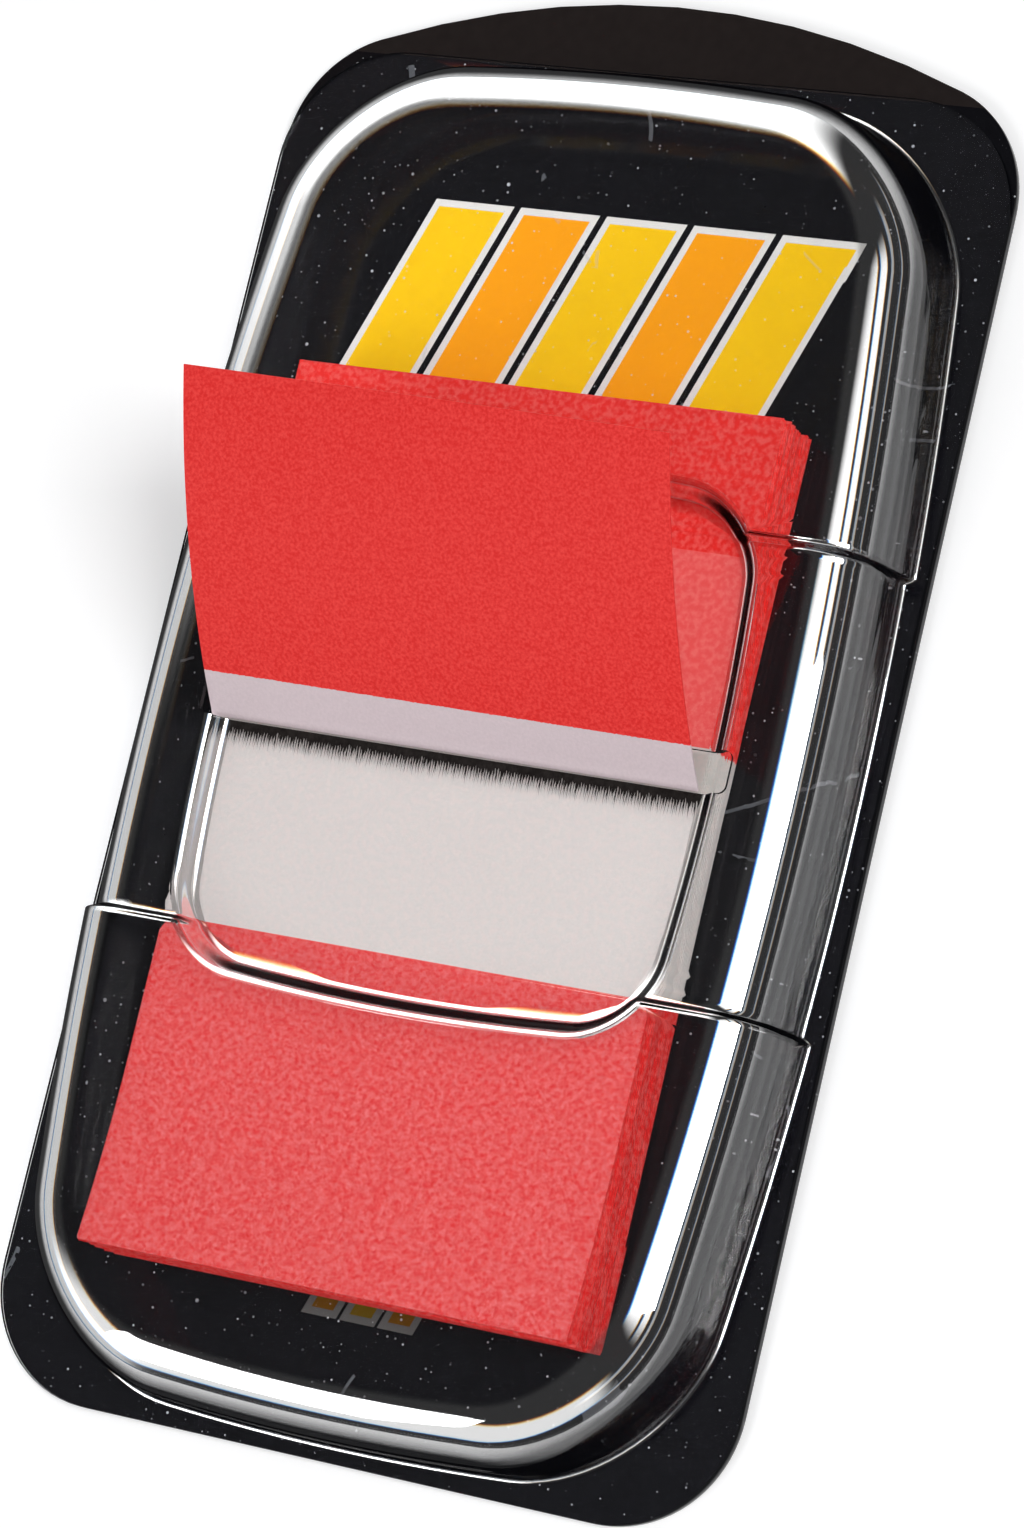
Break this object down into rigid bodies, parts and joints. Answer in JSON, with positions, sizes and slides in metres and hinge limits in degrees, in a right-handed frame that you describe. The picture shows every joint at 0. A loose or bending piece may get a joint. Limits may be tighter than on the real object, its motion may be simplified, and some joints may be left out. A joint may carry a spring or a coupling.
{
  "type": "sticky index tabs",
  "caption": "Pop-up dispenser of sticky index tabs: a pad of film tabs on a black card under a clear formed cover, with one red-ended tab pulled up through the slot.",
  "frame": {"origin": "centre of the bounding box's bottom face, in the middle of the back of the card", "axes": "+X across the card to the right, +Y along the card towards its bowed header edge, +Z out of the card through the clear cover"},
  "size_m": [0.0384, 0.0712, 0.0139],
  "materials": {
    "card": "coated black board with a satin sheen",
    "cover": "clear formed plastic sheet, glossy",
    "pad_film": "matte film with red tips",
    "tab_film": "matte film, red with a whitish root"
  },
  "bodies": {
    "root": {"backing_card": "card", "clear_cover": "cover", "tab_pad": "pad_film", "pulled_tab": "tab_film"}
  },
  "joints": []
}
